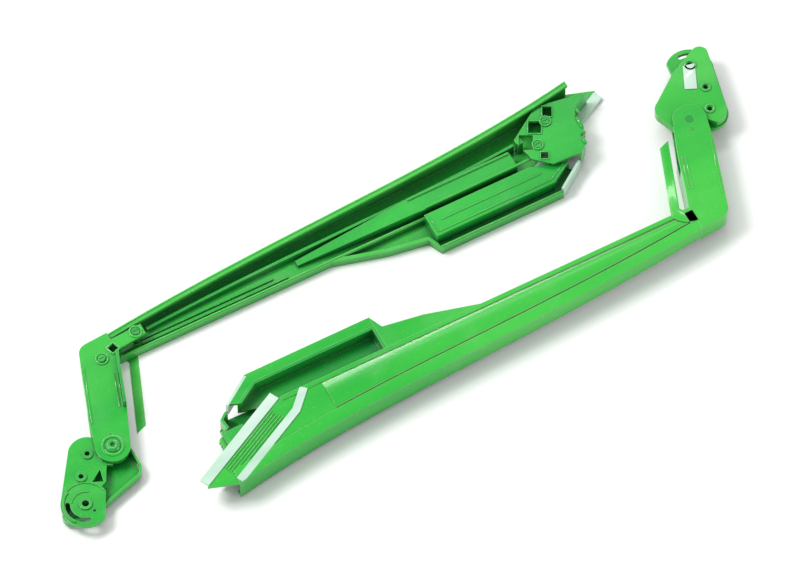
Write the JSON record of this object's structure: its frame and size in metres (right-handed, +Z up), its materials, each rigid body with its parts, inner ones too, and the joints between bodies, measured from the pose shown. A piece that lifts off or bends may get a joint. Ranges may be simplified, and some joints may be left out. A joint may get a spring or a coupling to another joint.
{
  "type": "leaf grabber hands",
  "caption": "Left and right moulded channel arms with an elbow, a forked neck, a swinging slotted head plate and a mitred wide end with a sprung thumb catch.",
  "frame": {"origin": "bottom centre of the pair's box, on the surface that the arms lie on", "axes": "+X along the arms, from the left arm's elbow to its wide end; +Z up"},
  "size_m": [0.6956, 0.2194, 0.028],
  "materials": {
    "shell_green": "gloss moulded",
    "inner_green": "gloss moulded",
    "pale_green": "polished facing",
    "head_green": "gloss moulded",
    "catch_green": "gloss moulded",
    "fixings": "green coated"
  },
  "bodies": {
    "left_arm": {"left_arm_shell": "shell_green", "left_long_rib": "inner_green", "left_inner_rail": "inner_green", "left_tray_web": "shell_green", "left_side_tray": "shell_green", "left_tray_panel": "inner_green", "left_tray_end_plate": "pale_green", "left_end_fin": "inner_green", "left_end_bracket": "inner_green", "left_edge_strip": "pale_green", "left_inlay_strip": "pale_green", "left_catch_guide": "inner_green", "left_neck_cover": "shell_green", "left_neck_plate": "shell_green", "left_neck_flange": "inner_green", "left_elbow_screws": "fixings", "left_bracket_screws": "fixings", "left_pivot_pin": "fixings", "left_stop_pin": "fixings", "left_pivot_washers": "fixings"},
    "left_catch": {"left_thumb_catch": "catch_green"},
    "left_head": {"left_head_shell": "shell_green", "left_head_plate": "head_green", "left_head_bushes": "fixings", "left_guide_rib": "head_green", "left_pivot_bush": "fixings"},
    "right_arm": {"right_arm_shell": "shell_green", "right_long_rib": "inner_green", "right_inner_rail": "inner_green", "right_tray_web": "shell_green", "right_side_tray": "shell_green", "right_tray_panel": "inner_green", "right_tray_end_plate": "pale_green", "right_end_fin": "inner_green", "right_end_bracket": "inner_green", "right_edge_strip": "pale_green", "right_inlay_strip": "pale_green", "right_catch_guide": "inner_green", "right_neck_cover": "shell_green", "right_neck_plate": "shell_green", "right_neck_flange": "inner_green", "right_elbow_screws": "fixings", "right_bracket_screws": "fixings", "right_pivot_pin": "fixings", "right_stop_pin": "fixings", "right_pivot_washers": "fixings"},
    "right_catch": {"right_thumb_catch": "catch_green"},
    "right_head": {"right_head_shell": "shell_green", "right_head_plate": "head_green", "right_head_bushes": "fixings", "right_guide_rib": "head_green", "right_pivot_bush": "fixings"}
  },
  "joints": [
    {"name": "left_head_swing", "type": "hinge", "parent": "left_arm", "child": "left_head", "pos_m": [-0.28191, -0.024, 0.014], "axis": [0, 0, 1], "range_deg": [-12, 32]},
    {"name": "left_catch_press", "type": "slide", "parent": "left_arm", "child": "left_catch", "axis": [-1, 0, 0], "range_m": [0, 0.003], "stiffness_N_per_m": 500, "springref_m": -0.001},
    {"name": "right_head_swing", "type": "hinge", "parent": "right_arm", "child": "right_head", "pos_m": [0.29809, 0.024, 0.014], "axis": [0, 0, 1], "range_deg": [-32, 12]},
    {"name": "right_catch_press", "type": "slide", "parent": "right_arm", "child": "right_catch", "axis": [1, 0, 0], "range_m": [0, 0.003], "stiffness_N_per_m": 500, "springref_m": -0.001},
    {"name": "right_arm_apart", "type": "slide", "parent": "left_arm", "child": "right_arm", "axis": [0, -1, 0], "range_m": [0, 0.15]}
  ]
}
